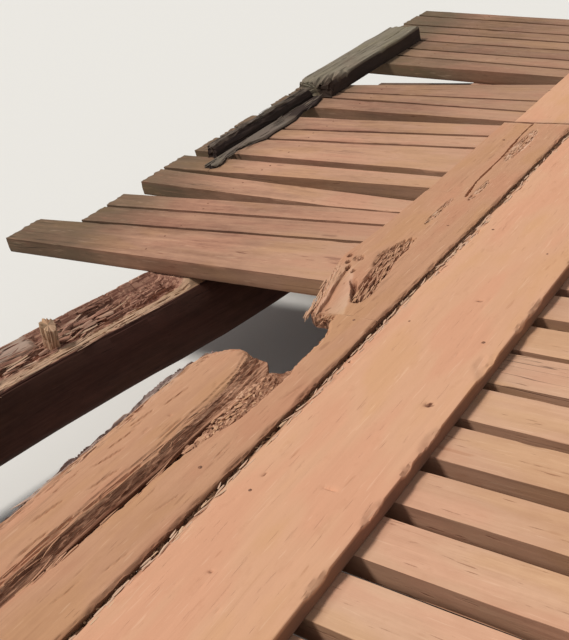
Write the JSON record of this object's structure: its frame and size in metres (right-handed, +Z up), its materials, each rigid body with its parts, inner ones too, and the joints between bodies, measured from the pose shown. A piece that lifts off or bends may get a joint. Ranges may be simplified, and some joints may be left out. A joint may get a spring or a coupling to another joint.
{
  "type": "damaged timber plank road bridge",
  "caption": "Low timber road bridge on logs: cross planks, runner boards for the wheels and kerbs, with one side rotten, fanned out and partly missing.",
  "frame": {"origin": "on the ground under the middle of the bridge", "axes": "+Z up, +Y along the bridge away from the viewer, +X to the sound side"},
  "size_m": [5.9, 7.8, 0.753],
  "materials": {
    "bank_log": "rough",
    "long_log": "rough",
    "deck_plank": "weathered",
    "runner_board": "worn",
    "kerb_timber": "weathered",
    "rotten_wood": "rotten"
  },
  "bodies": {
    "root": {"centre_planks_1": "deck_plank", "centre_planks_2": "deck_plank", "centre_planks_3": "deck_plank", "centre_planks_4": "deck_plank", "kerb_left_far": "kerb_timber", "kerb_left_near": "kerb_timber", "kerb_left_rotten_rim": "rotten_wood", "kerb_left_rotten_scab": "rotten_wood", "kerb_right_far": "kerb_timber", "kerb_right_near": "kerb_timber", "left_near_planks_1": "deck_plank", "left_near_planks_2": "deck_plank", "left_plank_01": "deck_plank", "left_plank_02": "deck_plank", "left_plank_03": "deck_plank", "left_plank_04": "deck_plank", "left_planks_05_to_07": "deck_plank", "left_planks_08_to_11": "deck_plank", "left_planks_12_to_14": "deck_plank", "left_planks_15_to_18": "deck_plank", "right_planks_1": "deck_plank", "right_planks_2": "deck_plank", "right_planks_3": "deck_plank", "right_planks_4": "deck_plank", "rotten_plank_stumps": "rotten_wood", "runner_left_inner_far": "runner_board", "runner_left_inner_near": "runner_board", "runner_left_outer_far": "runner_board", "runner_left_outer_middle": "runner_board", "runner_left_outer_near": "runner_board", "runner_right_inner_far": "runner_board", "runner_right_inner_near": "runner_board", "runner_right_outer_far": "runner_board", "runner_right_outer_near": "runner_board", "sill_log_far": "bank_log", "sill_log_near": "bank_log", "stringer_log_left_inner": "long_log", "stringer_log_left_outer": "rotten_wood", "stringer_log_right_inner": "long_log", "stringer_log_right_outer": "long_log"}
  },
  "joints": []
}
